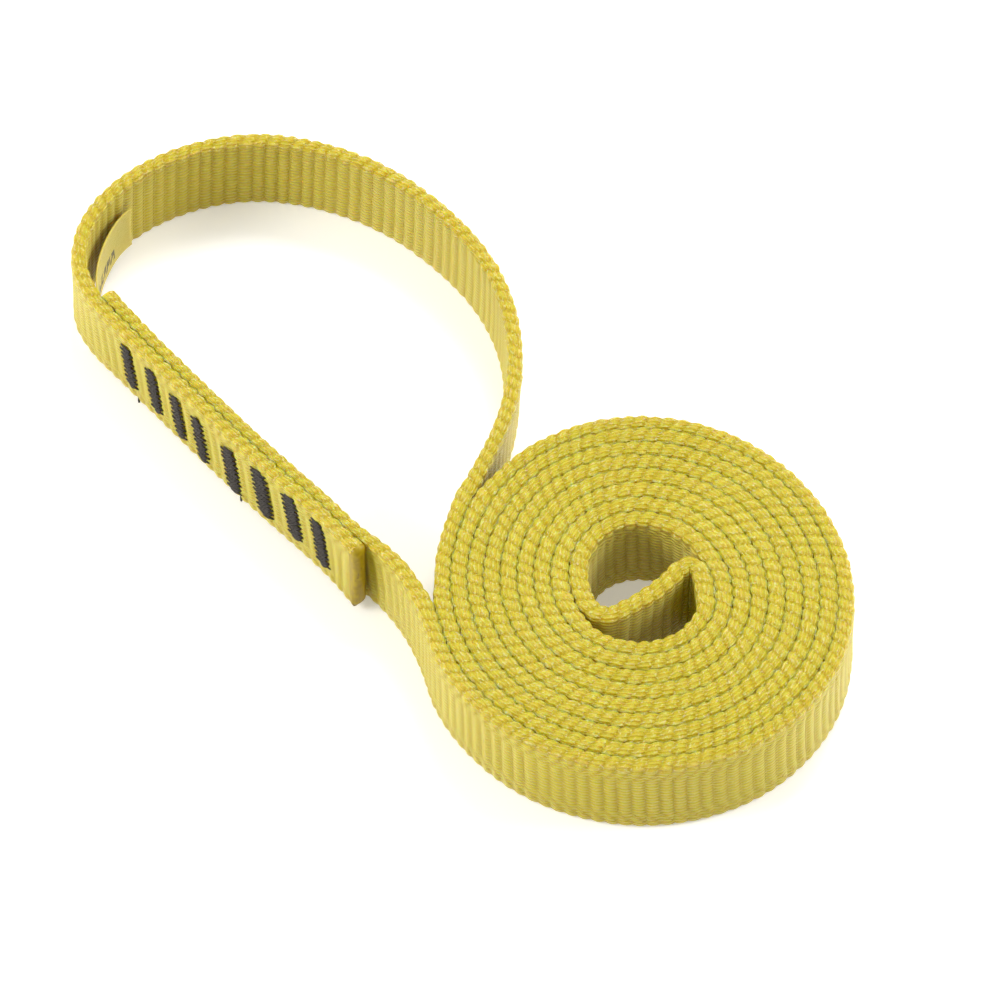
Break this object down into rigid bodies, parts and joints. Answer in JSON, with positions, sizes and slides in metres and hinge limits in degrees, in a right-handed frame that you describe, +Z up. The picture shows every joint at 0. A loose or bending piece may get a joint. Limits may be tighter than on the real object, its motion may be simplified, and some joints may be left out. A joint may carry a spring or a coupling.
{
  "type": "sewn webbing sling",
  "caption": "Endless sling of narrow tubular webbing, lap-sewn with bar tacks, part open as a loop and the rest doubled and rolled into a coil, with a sewn-in label",
  "frame": {"origin": "on the resting plane, under the middle of the outline", "axes": "+Z up and across the webbing, from its lower to its upper edge; +Y from the coil towards the open loop's far side; +X to the right as seen from the lap joint"},
  "size_m": [0.1334, 0.1342, 0.017],
  "materials": {
    "webbing": "ribbed tubular nylon weave, semi-matt",
    "thread": "bonded sewing thread, slight sheen",
    "label": "woven ribbon, satin"
  },
  "bodies": {
    "webbing": {"webbing": "webbing", "label_sewn_end": "label", "tack_1_needle_thread": "thread", "tack_1_bobbin_thread": "thread", "tack_2_needle_thread": "thread", "tack_2_bobbin_thread": "thread", "tack_3_needle_thread": "thread", "tack_3_bobbin_thread": "thread", "tack_4_needle_thread": "thread", "tack_4_bobbin_thread": "thread", "tack_5_needle_thread": "thread", "tack_5_bobbin_thread": "thread", "tack_6_needle_thread": "thread", "tack_6_bobbin_thread": "thread", "tack_7_needle_thread": "thread", "tack_7_bobbin_thread": "thread", "tack_8_needle_thread": "thread", "tack_8_bobbin_thread": "thread"},
    "label": {"label": "label"}
  },
  "joints": [
    {"name": "label_flex", "type": "hinge", "parent": "webbing", "child": "label", "pos_m": [-0.06154, 0.033, 0], "axis": [0, 0, 1], "range_deg": [-50, 0]}
  ]
}
